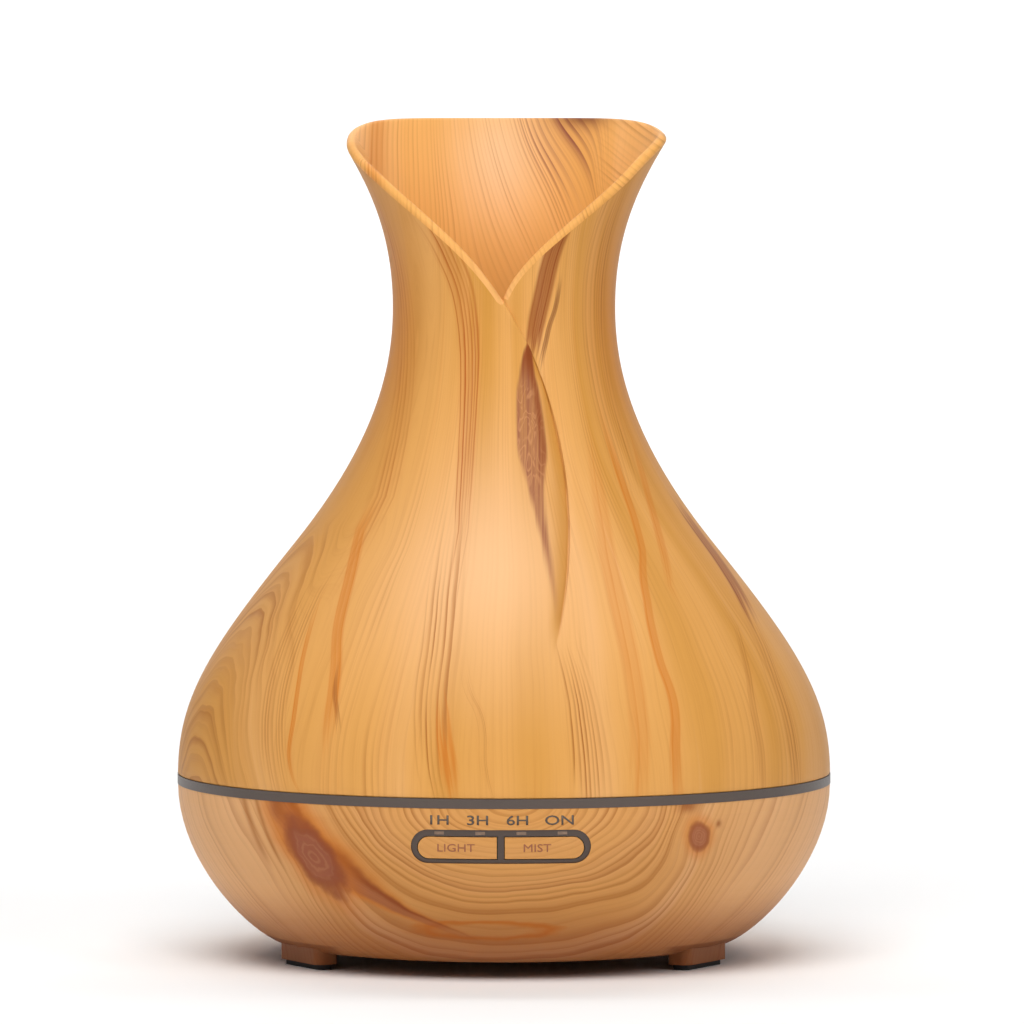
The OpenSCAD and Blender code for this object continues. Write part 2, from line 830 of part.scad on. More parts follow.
// A shallow cut into the cover's skin between two curves in [x, z] whose points share their heights.
// It fades out at the first curve and is depths[i] deep, with a sharp step, at the second.
function cover_r(z) = lookup(z, [for (p = cover_line(0)) [p[1], p[0]]]);
function on_cover(p, depth) = let (r = cover_r(p[1]), a = asin(p[0] / r))
    [(r - depth) * sin(a), -(r - depth) * cos(a), p[1]];

module skin_cut(from_curve, to_curve, depths) {
    m = fold_across;
    a = curve(from_curve, 0, 0, fold_steps);
    b = curve(to_curve, 0, 0, fold_steps);
    floor_points = [for (i = [0 : fold_steps], j = [0 : m])
        on_cover(a[i] + (b[i] - a[i] + [0.2, 0]) * j / m, depths[i] * fold_across_shape(j / m) - 0.06)];
    outer_points = [for (i = [0 : fold_steps], j = [0 : m])
        on_cover(a[i] + (b[i] - a[i] + [0.2, 0]) * j / m, -1.5)];
    n = len(floor_points);
    w = m + 1;
    strips = [for (i = [0 : fold_steps - 1], j = [0 : m - 1], k = [0, 1])
        let (p = i * w + j) k == 0 ? [p, p + w, p + 1] : [p + 1, p + w, p + w + 1]];
    lids = [for (f = strips) [n + f[0], n + f[2], n + f[1]]];
    sides = [for (i = [0 : fold_steps - 1], j = [0, m], k = [0, 1])
        let (p = i * w + j, q = p + w, f = k == 0 ? [p, n + p, q] : [q, n + p, n + q])
        j == 0 ? f : [f[0], f[2], f[1]]];
    ends = [for (i = [0, fold_steps], j = [0 : m - 1], k = [0, 1])
        let (p = i * w + j, f = k == 0 ? [p, p + 1, n + p] : [p + 1, n + p + 1, n + p])
        i == 0 ? f : [f[0], f[2], f[1]]];
    polyhedron(concat(floor_points, outer_points), concat(strips, lids, sides, ends), convexity = 6);
}

function fold_across_shape(u) = u * u * (3 - 2 * u);
fold_depths = [for (i = [0 : fold_steps]) fold_depth * sin(180 * pow(i / fold_steps, 0.62))];
lap_depths = [for (i = [0 : fold_steps]) lap_depth * sin(180 * pow(i / fold_steps, 0.9))];

module vase_cover() {
    color("#d9a052") difference() {
        rotate_extrude() polygon(concat(cover_line(0), backwards(cover_line(cover_wall))));
        rim_cut();
        skin_cut(fold_soft_side, fold_crease, fold_depths);
        skin_cut(lap_far_side, lap_edge, lap_depths);
    }
}

base_shell();
foot_pads();
light_ring();
button_bezel();
light_pipes();
water_tank();
air_tower();
duct_hood();
transducer_disc();
transducer_seal();
transducer_plate();
transducer_screws();
fan_frame();
fan_screws();
main_board();
controller_chips();
inductor_coil();
capacitors();
power_transistor();
heat_sink();
board_connectors();
board_screws();
led_board();
mood_leds();
led_board_screws();
button_board();
button_board_screws();
switch_bodies();
indicator_leds();
dc_jack();
jack_pin();
jack_nut();
housing_screws();
jack_lead();
fan_lead();
transducer_lead();
led_lead();
button_lead();
fan_rotor();
light_button();
light_switch_plunger();
mist_button();
mist_switch_plunger();
inner_cover();
cover_seal();
mist_chimney();
vase_cover();
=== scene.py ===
"""Looks for the essential oil diffuser: wood-print shells, panel legends, soft studio light."""
import math

import bmesh
import bpy
import numpy as np
from mathutils import Matrix, Vector


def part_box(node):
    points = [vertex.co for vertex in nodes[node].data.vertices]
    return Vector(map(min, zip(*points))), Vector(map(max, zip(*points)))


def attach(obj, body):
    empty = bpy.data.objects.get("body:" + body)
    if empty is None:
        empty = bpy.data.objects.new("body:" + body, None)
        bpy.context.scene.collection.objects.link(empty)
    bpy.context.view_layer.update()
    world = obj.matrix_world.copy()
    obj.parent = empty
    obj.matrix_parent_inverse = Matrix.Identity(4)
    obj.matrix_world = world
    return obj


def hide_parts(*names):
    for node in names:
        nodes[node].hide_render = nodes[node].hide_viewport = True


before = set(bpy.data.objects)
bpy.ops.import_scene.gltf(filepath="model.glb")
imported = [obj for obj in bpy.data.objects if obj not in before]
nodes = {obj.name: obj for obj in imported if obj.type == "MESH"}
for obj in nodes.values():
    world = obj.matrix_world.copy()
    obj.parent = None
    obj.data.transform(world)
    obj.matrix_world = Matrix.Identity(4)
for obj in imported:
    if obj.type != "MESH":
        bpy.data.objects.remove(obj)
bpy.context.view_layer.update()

MM = 0.001


# ---------------------------------------------------------------- numbers that vary over a surface


class Num:
    """The output of a shader node as a number, so that fields are written as plain sums."""

    def __init__(self, tree, socket):
        self.tree, self.socket = tree, socket

    def __add__(self, other):
        return calc("ADD", self, other)

    def __sub__(self, other):
        return calc("SUBTRACT", self, other)

    def __mul__(self, other):
        return calc("MULTIPLY", self, other)

    def __truediv__(self, other):
        return calc("DIVIDE", self, other)

    def __rsub__(self, other):
        return calc("SUBTRACT", other, self)

    def __neg__(self):
        return calc("MULTIPLY", self, -1)

    def __pow__(self, other):
        return calc("POWER", self, other)

    __radd__, __rmul__ = __add__, __mul__


def join(tree, value, socket):
    """Feeds a node's input from a Num, a socket, or a constant."""
    if isinstance(value, Num):
        tree.links.new(value.socket, socket)
    elif isinstance(value, bpy.types.NodeSocket):
        tree.links.new(value, socket)
    elif value is not None:
        socket.default_value = value


def calc(operation, *args):
    """One Math node."""
    tree = next(a.tree for a in args if isinstance(a, Num))
    n = tree.nodes.new("ShaderNodeMath")
    n.operation = operation
    for socket, a in zip(n.inputs, args):
        join(tree, a, socket)
    return Num(tree, n.outputs[0])


def step(a, low, high, bottom=0.0, top=1.0):
    """Rises smoothly from bottom to top as a goes from low to high. Low may be above high."""
    n = a.tree.nodes.new("ShaderNodeMapRange")
    n.interpolation_type = "SMOOTHSTEP"
    for socket, value in zip(n.inputs, (a, low, high, bottom, top)):
        join(a.tree, value, socket)
    return Num(a.tree, n.outputs[0])


def bell(a, width):
    """1 where a is 0, falling smoothly to 0 at about twice width on either side."""
    return calc("EXPONENT", -(a * a) * (1 / width**2))


def clamp(a):
    n = a.tree.nodes.new("ShaderNodeClamp")
    join(a.tree, a, n.inputs[0])
    return Num(a.tree, n.outputs[0])


def size_of(a):
    return calc("ABSOLUTE", a)


def noise(x, y, z, detail=2.0, rough=0.5, warp=0.0):
    """Smooth noise from about -1 to 1, one wave for each unit of its coordinates."""
    tree = next(a.tree for a in (x, y, z) if isinstance(a, Num))
    place = tree.nodes.new("ShaderNodeCombineXYZ")
    for socket, a in zip(place.inputs, (x, y, z)):
        join(tree, a, socket)
    n = tree.nodes.new("ShaderNodeTexNoise")
    tree.links.new(place.outputs[0], n.inputs["Vector"])
    n.inputs["Scale"].default_value = 1.0
    n.inputs["Detail"].default_value = detail
    n.inputs["Roughness"].default_value = rough
    n.inputs["Distortion"].default_value = warp
    return Num(tree, n.outputs["Fac"]) * 2 - 1


def curve_of(a, points):
    """A smooth curve through a few (a, value) points, read at a."""
    lows = [min(p[i] for p in points) for i in (0, 1)]
    highs = [max(p[i] for p in points) for i in (0, 1)]
    spans = [h - l for l, h in zip(lows, highs)]
    n = a.tree.nodes.new("ShaderNodeFloatCurve")
    line = n.mapping.curves[0]
    unit = sorted(((p[0] - lows[0]) / spans[0], (p[1] - lows[1]) / spans[1]) for p in points)
    line.points[0].location = unit[0]
    line.points[1].location = unit[-1]
    for p in unit[1:-1]:
        line.points.new(*p)
    n.mapping.update()
    join(a.tree, clamp((a - lows[0]) / spans[0]), n.inputs["Value"])
    return Num(a.tree, n.outputs[0]) * spans[1] + lows[1]


def paint(under, over, amount):
    """The colour under with the colour over laid on it by amount."""
    tree = amount.tree
    n = tree.nodes.new("ShaderNodeMix")
    n.data_type = "RGBA"
    join(tree, amount, n.inputs["Factor"])
    for name, value in (("A", under), ("B", over)):
        socket = next(s for s in n.inputs if s.name == name and s.type == "RGBA")
        join(tree, (*value, 1) if isinstance(value, tuple) else value, socket)
    return next(s for s in n.outputs if s.type == "RGBA")


def srgb(*values):
    """A display colour, 0 to 255, as the linear colour that shaders take."""
    return tuple(v / 255 / 12.92 if v <= 10 else ((v / 255 + 0.055) / 1.055) ** 2.4 for v in values)


class Surface:
    """A material with one Principled shader, and the object's own coordinates in millimetres."""

    def __init__(self, name):
        self.material = bpy.data.materials.new(name)
        self.material.use_nodes = True
        self.tree = self.material.node_tree
        self.shader = self.tree.nodes["Principled BSDF"]
        coordinates = self.tree.nodes.new("ShaderNodeTexCoord")
        split = self.tree.nodes.new("ShaderNodeSeparateXYZ")
        self.tree.links.new(coordinates.outputs["Object"], split.inputs[0])
        self.x, self.y, self.z = (Num(self.tree, s) * 1000 for s in split.outputs)

    def set(self, **values):
        for name, value in values.items():
            join(self.tree, value, self.shader.inputs[name.replace("_", " ").title().replace("Ior", "IOR")])
        return self

    def colour(self, value):
        socket = self.shader.inputs["Base Color"]
        join(self.tree, (*value, 1) if isinstance(value, tuple) else value, socket)
        return self

    def bump(self, height, depth):
        """height is a Num in millimetres; depth scales it."""
        n = self.tree.nodes.new("ShaderNodeBump")
        n.inputs["Distance"].default_value = depth * MM
        join(self.tree, height, n.inputs["Height"])
        self.tree.links.new(n.outputs[0], self.shader.inputs["Normal"])
        return self


# ---------------------------------------------------------------- wood print

HONEY = srgb(224, 164, 92)
PEACH = srgb(240, 190, 140)
GOLD = srgb(206, 146, 66)
OLIVE = srgb(188, 128, 44)
ORANGE = srgb(202, 114, 34)
LATEWOOD = srgb(158, 90, 32)
RED_BROWN = srgb(138, 66, 28)
RUST = srgb(172, 84, 26)
KNOT = srgb(146, 84, 64)
KNOT_DARK = srgb(112, 54, 32)
KNOT_LIGHT = srgb(206, 146, 96)
MOUTH_PAINTED_LIGHT = srgb(252, 184, 104)

FILM_R = 84.0  # one radian round the body is this many millimetres of film
ARCH_ANGLE = -69.0  # where the grain's arches stand, in degrees


def angle_round(w):
    """The angle round the body in degrees, 0 at the front and positive to the viewer's right."""
    return calc("ARCTAN2", w.x, -w.y) * math.degrees(1)


def chance(a, seed):
    """A number from 0 to 1 that is the same over each whole step of a."""
    return calc("FRACT", calc("SINE", calc("FLOOR", a) * 12.99 + seed) * 4375.8)


def ground(w, grain):
    """The early wood: soft bands, finer streaks and fibres that follow the grain."""
    band = noise(grain / 24, w.z / 300, 3.1, detail=2)
    streak = noise(grain / 5.5, w.z / 170, 7.7, detail=3, rough=0.65)
    fibre = noise(grain / 0.55, w.z / 26, 1.3, detail=2, rough=0.7)
    colour = paint(HONEY, GOLD, step(band, -0.1, 0.5))
    colour = paint(colour, PEACH, step(band, -0.05, -0.5) * 0.75)
    colour = paint(colour, ORANGE, step(streak, 0.15, 0.7) * 0.42)
    colour = paint(colour, PEACH, step(streak, -0.15, -0.6) * 0.4)
    return paint(colour, LATEWOOD, step(fibre, -0.1, 0.8) * 0.22), fibre


def ring_lines(w, grain, spacing, seed, plain=0.2):
    """Latewood lines, each faded on one side and sharp on the other, uneven in strength and spacing."""
    uneven = noise(grain / 9, seed, 0.0, detail=1)
    count = grain / spacing + uneven * 1.5 + 100
    phase = calc("FRACT", count)
    line = step(phase, 0.38, 0.92) * step(phase, 1.0, 0.95)
    bundle = step(noise(grain / 17, w.z / 120, seed, detail=1), -0.1, 0.4)
    along = step(noise(count / 3, w.z / 38, seed + 4, detail=1), -0.5, 0.35)
    return line * (chance(count, seed) * 0.8 + 0.2) * (bundle * (1 - plain) + plain) * (along * 0.75 + 0.25)


def strand(w, angle, path, widths, low, high, soft=12.0):
    """A bundle along path, points of (height, degrees), widths millimetres wide to either side."""
    wander = noise(w.z / 22, path[0][1], 0.5, detail=2) * 0.5
    width = curve_of(w.z, widths) if isinstance(widths, list) else widths
    across = ((angle - curve_of(w.z, path)) * (math.pi / 180) * w.radius + wander) / width
    ragged = noise(across * 2.5, w.z / 60, low / 10, detail=1) * soft
    strength = step(size_of(across), 1.0, 0.6) * step(w.z + ragged, low, low + soft)
    return across, strength * step(w.z + ragged, high, high - soft)


def strand_lines(w, across, count, seed):
    """Lines that run along a strand, uneven in place, width and darkness."""
    wave = noise(w.z / 34, across * 1.2, seed, detail=2) * 0.35
    uneven = noise(across * 1.7, seed, 0.0, detail=0) * 0.9
    place = across * (count / 2) + (wave + uneven) + 20
    phase = calc("FRACT", place)
    dark = chance(place, seed) * 0.65 + 0.35
    fade = step(noise(place / 2, w.z / 24, seed, detail=1), -0.6, 0.3) * 0.6 + 0.4
    return step(phase, 0.3, 0.88) * step(phase, 1.0, 0.93) * dark * fade


def finish_wood(w, colour, fibre, lines):
    """The printed film's satin face, with the grain just felt in it."""
    w.colour(colour)
    w.set(roughness=step(fibre, -1, 1, 0.40, 0.50), specular_ior_level=0.1)
    w.bump(fibre * 0.25 - lines * 0.5, 0.012)
    return w.material


def cover_grain(w, angle):
    """Millimetres across the grain: upright lines, with nested arches low on the left side."""
    sway = noise(w.x / 60, w.y / 60, w.z / 75, detail=1) * 6
    sway = sway + noise(w.x / 15, w.y / 15, w.z / 42, detail=1) * 1.0
    w.turn = calc("ARCCOSINE", calc("COSINE", (angle - ARCH_ANGLE) * (math.pi / 180)) * 0.9994) * FILM_R
    closing = (calc("MINIMUM", w.z, 112) + 20) * 0.36 * step(w.turn, 72, 22)
    ripple = noise(w.x / 9, w.y / 9, w.z / 14, detail=1) * 0.9 * step(w.turn, 34, 16)
    return calc("SQRT", w.turn * w.turn + closing * closing) + sway * step(w.turn, 6, 34) + ripple


# Streaks of the vase cover's print: path as (height, degrees), half-width in millimetres,
# low and high ends, number of lines, seed, colour, depth, wash between the lines, softness of the ends
LEFT_STREAKS = [
    ([(112, -12), (138, -15), (152, -16), (169, -20), (180, -27), (190, -36), (196, -43)],
     [(112, 2.4), (150, 3.2), (169, 3.8), (190, 6.5)], 100, 206, 7, 2.2, RUST, 1.0, 0.2, 34),
    ([(120, -44), (150, -56), (170, -64), (190, -70)], 6.0, 96, 206, 7, 3.3, RUST, 0.6, 0.1, 40),
    ([(47, -10), (60, -11.6), (74, -12.4), (87, -12.6), (102, -13.9), (118, -15)],
     [(47, 5.4), (74, 6.0), (102, 5.4), (118, 4)], 42, 124, 8, 6.3, LATEWOOD, 0.8, 0.04, 26),
    ([(47, -8.0), (55, -8.9), (64, -10.0), (74, -11.2)], [(47, 3.0), (62, 2.6), (74, 1.2)],
     44, 74, 3, 7.2, ORANGE, 0.8, 0.4, 12),
    ([(48, -1.6), (56, -2.7), (64, -2.9), (75, -6.2), (82, -7.6)], 1.5,
     46, 82, 3, 5.5, LATEWOOD, 0.6, 0.05, 10),
    ([(47, -30), (60, -31.5), (75, -33), (88, -37), (100, -40.5), (112, -46)],
     [(47, 4), (75, 2.2), (112, 2.6)], 58, 120, 3, 9.1, ORANGE, 0.95, 0.45, 16),
    ([(60, -29), (67, -30.6), (73, -32.4), (79, -33.4)], 0.9, 62, 79, 2, 1.2, RED_BROWN, 0.8, 0.45, 6),
    ([(47, -36.4), (56, -39.5), (66, -40), (84, -44), (94, -47)], 0.9,
     44, 98, 2, 3.9, ORANGE, 1.0, 0.5, 14),
    ([(47, -41), (60, -44), (80, -48), (96, -51)], 5.6, 42, 104, 9, 4.1, LATEWOOD, 0.7, 0.04, 16),
]
RIGHT_STREAKS = [
    ([(150, 12), (160, 16), (171, 21), (181, 25), (190, 31.5), (198, 39)],
     [(150, 1.8), (160, 2.5), (171, 3.0), (190, 2.9)], 153, 214, 7, 8.4, RED_BROWN, 1.0, 0.7, 8),
    ([(148, 17), (154, 19.5), (162, 24), (172, 29.5), (180, 30)], 0.8,
     151, 177, 2, 4.4, KNOT_DARK, 0.9, 0.55, 8),
    ([(120, 48), (150, 54), (170, 54), (195, 58)], 6.0, 110, 210, 9, 5.3, LATEWOOD, 0.75, 0.05, 30),
    ([(47, 31.4), (57, 31.4), (70, 32.8), (81, 32.6), (96, 35.5), (110, 42.5), (120, 45.6), (136, 48.5)],
     [(47, 2.6), (78, 1.6), (110, 1.5), (136, 1.6)], 40, 142, 2, 3.7, ORANGE, 0.95, 0.5, 20),
    ([(47, 24), (68, 25.2), (80, 26), (98, 28), (118, 33), (135, 39)],
     [(47, 3.2), (80, 3.2), (135, 2.0)], 40, 136, 3, 2.9, ORANGE, 0.5, 0.4, 20),
    ([(47, 51.2), (57, 51.5), (66, 51.8), (76, 54.5), (87, 59)], 1.6,
     40, 92, 2, 8.8, LATEWOOD, 0.9, 0.2, 12),
    ([(47, 62), (66, 62), (84, 66), (96, 70)], 5.0, 40, 98, 6, 2.1, LATEWOOD, 0.6, 0.05, 16),
    ([(84, 67), (90, 70), (99, 74.5), (108, 76.5), (116, 76)], [(84, 4.5), (99, 5.0), (116, 3.0)],
     86, 121, 6, 1.7, RED_BROWN, 1.0, 0.6, 10),
    ([(98, 44), (112, 52), (122, 58), (134, 66)], 1.8, 92, 138, 2, 7.5, ORANGE, 0.85, 0.45, 16),
]
FRONT_STREAKS = [
    ([(47, 15.6), (60, 15.2), (72, 14.6), (84, 13.4)], [(47, 6.5), (84, 4.4)],
     40, 88, 10, 5.9, LATEWOOD, 0.95, 0.03, 14),
]


def lay_streaks(w, angle, colour, streaks):
    """The colour with each placed streak laid on it."""
    for path, width, low, high, count, seed, tone, depth, wash, soft in streaks:
        across, strength = strand(w, angle, path, width, low, high, soft)
        marks = strand_lines(w, across, count, seed)
        colour = paint(colour, tone, strength * (marks * (1 - wash) + wash) * depth)
    return colour


def fold_painted_shade(w, angle, colour):
    """Painted shade where the skin sinks to the crease: olive left of the crease's edge, with a painted
    shadow line along the edge.
    """
    crease = curve_of(w.z, [(z, float(seam_angle(z))) for z in (80, 88, 96, 106, 118, 130, 142, 152, 158)])
    inward = crease - angle
    reach = curve_of(w.z, [(80, 1.0), (92, 4.0), (110, 7.0), (130, 9.0), (146, 6.0), (158, 2.0)])
    # painted shade: olive over the sunken strip left of the crease
    shade = step(inward, -0.1, 0.35) * step(inward, reach, reach * 0.15)
    colour = paint(colour, OLIVE, shade * step(w.z, 82, 92) * 0.7)
    # painted shadow: a dark line along the crease's edge
    edge = bell(inward - 0.3, 0.45) * step(w.z, 84, 96) * step(w.z, 157, 150)
    return paint(colour, LATEWOOD, edge * 0.3)


def fold_knot(w, angle, colour):
    """The long knot beside the fold: a dark tip, a swirled middle and a tail that fades into the belly."""
    left = curve_of(w.z, [(82, 12.0), (92, 12.2), (103, 11.6), (115, 10.2), (127, 7.6), (135, 5.8),
                          (143, 6.0), (151, 8.0), (159, 12.4)])
    right = curve_of(w.z, [(82, 12.6), (95, 13.0), (104, 13.2), (113, 13.4), (120, 14.2), (127, 16.2),
                           (135, 18.2), (143, 18.0), (151, 16.0), (159, 13.8)])
    ragged = noise(w.x / 1.1, w.z / 26, 4.0, detail=2) * 0.9
    inside = step(angle + ragged, left - 0.9, left + 1.1) * step(angle + ragged, right + 0.9, right - 1.0)
    inside = inside * step(w.z, 80, 112) * step(w.z, 160.5, 158)
    middle = step(w.z, 119, 126) * step(w.z, 152, 144)
    curl = noise(w.x / 3.4, w.z / 9.0, 2.0, detail=1, warp=1.2)
    rings = step(size_of(calc("FRACT", curl * 3.0 + w.x / 4.4) - 0.5), 0.22, 0.5)
    streaks = step(noise(w.x / 0.6, w.z / 26, 6.0, detail=2), -0.4, 0.5)
    colour = paint(colour, KNOT, inside * (streaks * 0.4 + 0.55))
    colour = paint(colour, KNOT_LIGHT, inside * middle * rings * 0.55)
    rim = step(angle, right - 4.6, right - 1.6) * inside * step(w.z, 122, 134)
    colour = paint(colour, RED_BROWN, rim * (streaks * 0.4 + 0.5))
    return paint(colour, RED_BROWN, inside * step(w.z, 147, 156) * 0.8)


def wood_of_cover(side):
    """The vase cover's outer print with painted light and shade laid on it, on the left of the seam (side
    -1) or the right (1).
    """
    w = Surface("wood_cover_left" if side < 0 else "wood_cover_right")
    angle = angle_round(w)
    w.radius = calc("SQRT", w.x * w.x + w.y * w.y)
    grain = cover_grain(w, angle)
    colour, fibre = ground(w, grain)
    # olive-gold towards the sides and redder at the sides of the neck, partly print and partly painted
    # shade where the light falls off
    back = step(size_of(angle), 86, 124)
    colour = paint(colour, OLIVE, step(size_of(angle - 4), 32, 92) * (1 - back * 0.6) * 0.7)
    neck_side = step(size_of(angle), 34, 76) * bell(w.z - 164, 30)
    colour = paint(colour, ORANGE, neck_side * (1 - back * 0.5) * 0.4)
    # painted shade: gold, low on the front of the belly
    colour = paint(colour, GOLD, bell(angle, 34) * bell(w.z - 66, 20) * 0.45)
    # painted highlight: peach on the front of the body
    colour = paint(colour, PEACH, bell(angle + 4, 24) * bell(w.z - 104, 24) * 0.85)
    lines = ring_lines(w, grain, 2.2, 5.1)
    arches = step(w.turn, 34, 14) * step(w.z, 118, 104)
    lines = clamp(lines * 0.8 + ring_lines(w, grain, 1.9, 3.4, 1.0) * arches)
    colour = paint(colour, LATEWOOD, lines * clamp(arches * 0.3 + 0.5 + back * 0.4))
    colour = paint(colour, RUST, ring_lines(w, grain, 8.0, 8.3, 0.5) * back * 0.6)
    colour = lay_streaks(w, angle, colour, FRONT_STREAKS + (LEFT_STREAKS if side < 0 else RIGHT_STREAKS))
    if side < 0:
        colour = fold_knot(w, angle, fold_painted_shade(w, angle, colour))
    return finish_wood(w, colour, fibre, lines)


def wood_of_mouth():
    """The print inside the neck and on its lip, with painted light on the inside: lines that lean round a
    knot at the rim.
    """
    w = Surface("wood_mouth")
    knot_x, knot_z = 20.5, 217.0
    dx, dz = w.x - knot_x, w.z - knot_z
    lean = (w.z - 216) * 0.34 * step(w.x, -26, 12)
    sway = noise(w.x / 26, w.y / 60, w.z / 50, detail=1) * 1.6
    pull = bell(dx, 15) * bell(dz, 17) * dx * 0.55
    corner = step(w.x, 22, 30) * step(w.z, 188, 200)  # on the right the lines slant instead
    petals = step(w.y, 10, -10) * 40  # the petals' inner faces show another part of the print
    grain = w.x + lean * (1 - corner) + sway - pull + petals
    colour, fibre = ground(w, grain * 1.5)
    # painted light: brighter high inside the neck, fading downwards
    colour = paint(colour, MOUTH_PAINTED_LIGHT, bell(w.z - 195, 60) * 0.5)
    # painted highlight: peach on the inner face of the back wall near the rim
    colour = paint(colour, PEACH, bell(w.x + 2, 12) * step(w.y, 0, 10) * bell(w.z - 206, 17) * 0.95)
    lines = ring_lines(w, grain * 1.5, 1.5, 9.4, 0.55) * (1 - corner)
    colour = paint(colour, LATEWOOD, lines * 0.55)
    halo = bell(dx + 5, 10) * bell(dz, 16) * (1 - corner)
    purple = ring_lines(w, grain * 1.5, 3.0, 1.9, 1.0)
    colour = paint(colour, KNOT, clamp(halo * (purple * 1.7 + 0.18)))
    dark = bell(dx, 7) * bell(dz, 3.2)
    colour = paint(colour, KNOT_DARK, clamp(dark * 1.3) * 0.75)
    slant = ring_lines(w, w.x * 0.75 + w.z * 1.0 + sway, 2.0, 4.4, 1.0)
    colour = paint(colour, LATEWOOD, corner * slant * 0.55)
    left = bell(w.x + 33, 2.4) * step(w.z, 172, 196)
    upright = ring_lines(w, w.x * 1.5 + sway, 1.9, 2.2, 1.0)
    colour = paint(colour, ORANGE, clamp(left * (upright + 0.35)) * 0.95)
    colour = paint(colour, HONEY, step(w.z, 192, 176) * 0.3)
    return finish_wood(w, colour, fibre, lines)


def oval_knot(w, across, up, colour, tilt, reach, seed, depth=0.9):
    """A knot centred where across and up are 0; reach is its two half-lengths."""
    c, s = math.cos(tilt), math.sin(tilt)
    wobble = noise(across / 6, up / 6, seed, detail=3) * 0.34
    along = (across * c + up * s) / reach[0]
    over = (up * c - across * s) / reach[1]
    far = calc("SQRT", along * along + over * over) + wobble
    turns = calc("FRACT", far * 4.6 + noise(across / 3, up / 3, seed, detail=1) * 0.7)
    rings = step(size_of(turns - 0.5), 0.2, 0.5)
    colour = paint(colour, ORANGE, step(far, 2.0, 0.9) * 0.5)
    colour = paint(colour, KNOT, step(far, 1.25, 0.7) * depth)
    colour = paint(colour, RED_BROWN, step(far, 1.2, 0.9) * step(far, 0.55, 0.85) * 0.55 * depth)
    return paint(colour, KNOT_LIGHT, step(far, 0.8, 0.5) * rings * 0.2)


def panel_grain(w, angle):
    """Millimetres across the annual rings, which hang in a U round the button panel."""
    w.s = angle * (math.pi / 180) * FILM_R
    drop = 47 - w.z
    sway = noise(w.x / 30, w.y / 30, w.z / 20, detail=1) * 2.2
    sway = sway + noise(w.x / 8, w.y / 8, w.z / 8, detail=1) * 0.4
    shift = w.s - 3
    w.oval = calc("SQRT", (shift / 1.75) ** 2 + drop * drop * 1.1 + 1)
    wrap = calc("ARCCOSINE", calc("COSINE", angle * (math.pi / 180)) * 0.9985) * FILM_R
    w.side = step(size_of(angle), 26, 50)
    push = bell(w.s + 50, 18) * bell(w.z - 30, 12) * 6 + bell(w.s - 53, 8) * bell(w.z - 37, 6) * 4
    return w.oval * (1 - w.side) + (wrap * 0.9 + drop * 0.45) * w.side + sway + push


def long_knot(w, colour):
    """The knot left of the panel: a brown sweep that leans down to a flame under the panel."""
    path = [(8, -2), (12, -12), (16, -23), (21, -34), (27, -43.5), (34, -51.5), (41, -58), (48, -62)]
    wide = [(8, 1.2), (13, 2.2), (18, 2.8), (24, 4.6), (32, 6.4), (39, 5.4), (48, 3.8)]
    wander = noise(w.s / 7, w.z / 5, 2.0, detail=3) * 1.5
    across = (w.s - curve_of(w.z, path) + wander) / curve_of(w.z, wide)
    ends = step(w.z, 9, 19) * step(w.z, 52, 44)
    marks = ring_lines(w, across * 4 + w.z / 4, 1.1, 7.7, 1.0)
    colour = paint(colour, ORANGE, step(size_of(across), 2.4, 1.0) * ends * 0.6)
    colour = paint(colour, KNOT, step(size_of(across), 1.4, 0.5) * ends * (marks * 0.35 + 0.6))
    colour = paint(colour, RED_BROWN, bell(across - 0.9, 0.4) * ends * 0.8)
    colour = paint(colour, KNOT_DARK, bell(across + 0.2, 0.5) * step(w.z, 36, 42) * ends * 0.6)
    return oval_knot(w, w.s + 51.5, w.z - 31.5, colour, math.radians(-56), (11.0, 6.2), 3.3, 0.85)


def wood_of_base(name="wood_base", pale=0.0):
    """The base's print: rings round the panel, two knots and a flame, with painted shade under the bowl and
    darker feet.
    """
    w = Surface(name)
    angle = angle_round(w)
    grain = panel_grain(w, angle)
    colour, fibre = ground(w, grain)
    back = step(size_of(angle), 84, 120)
    colour = paint(colour, KNOT, step(size_of(angle), 0, 60, 0.19, 0.24) * (1 - back * 0.6))
    colour = paint(colour, PEACH, step(size_of(angle), 20, 60) * (1 - back * 0.7) * 0.5)
    near = step(w.oval, 34, 16)
    lines = ring_lines(w, grain, 1.45, 2.7, 1.0) * near + ring_lines(w, grain, 3.2, 6.2, 0.7) * (1 - near)
    colour = paint(colour, LATEWOOD, lines * (0.95 - w.side * 0.4) * (1 - 0.5 * pale))
    colour = paint(colour, RED_BROWN, lines * near * 0.3 * (1 - pale))
    flame = calc("SQRT", ((w.s + 5) / 22) ** 2 + ((w.z - 13.4) / 2.6) ** 2)
    flame = flame + noise(w.s / 9, w.z / 3, 5.0, detail=2) * 0.25
    colour = paint(colour, ORANGE, step(flame, 1.2, 0.85) * step(flame, 0.5, 0.9) * 0.85)
    colour = long_knot(w, colour)
    colour = oval_knot(w, w.s - 53.5, w.z - 36.6, colour, math.radians(-60), (3.9, 3.1), 6.1, 0.75)
    colour = paint(colour, RED_BROWN, bell(w.s - 59.4, 0.9) * bell(w.z - 39.6, 0.9) * 0.7)
    colour = paint(colour, RED_BROWN, bell(w.s - 49.5, 3.0) * bell(w.z - 44.5, 1.6) * 0.7)
    left_bands = bell(w.s + 71 + (w.z - 36) * 0.35, 1.2) + bell(w.s + 66 + (w.z - 36) * 0.35, 0.8)
    colour = paint(colour, LATEWOOD, clamp(left_bands) * step(w.z, 26, 34) * 0.6)
    # painted shade under the bowl, darker towards the bottom; the feet are darker still
    colour = paint(colour, RED_BROWN, step(w.z, 24, 6) * 0.6)
    colour = paint(colour, KNOT_DARK, step(w.z, 7.2, 6.6) * step(size_of(w.x), 40, 44) * 0.5)
    return finish_wood(w, colour, fibre, lines)


# ---------------------------------------------------------------- plain materials


